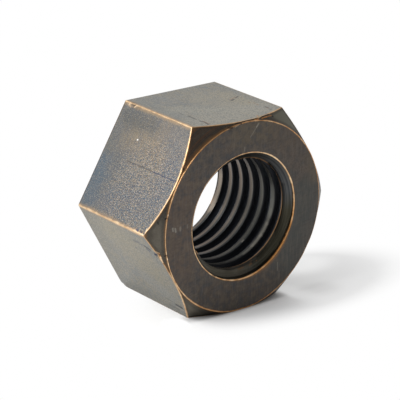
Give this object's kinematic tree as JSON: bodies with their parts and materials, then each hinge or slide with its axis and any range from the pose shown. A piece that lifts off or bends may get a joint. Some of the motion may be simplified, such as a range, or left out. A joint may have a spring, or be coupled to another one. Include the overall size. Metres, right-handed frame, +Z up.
{
  "type": "machine nut",
  "caption": "Heavy hexagonal machine nut with a raised round washer face, chamfered front corners, countersunk bore ends and a coarse trapezoidal screw thread.",
  "frame": {"origin": "middle of the bottom flat that the nut stands on, at half the nut's height along the bore", "axes": "+Z up, from the bottom flat to the top flat; -Y out of the washer face along the bore; X from corner to corner"},
  "size_m": [0.088, 0.0464, 0.0762],
  "materials": {
    "worn_brass": "dark brown and grey patina, with copper-bright worn edges"
  },
  "bodies": {
    "root": {"hex_nut": "worn_brass"}
  },
  "joints": []
}
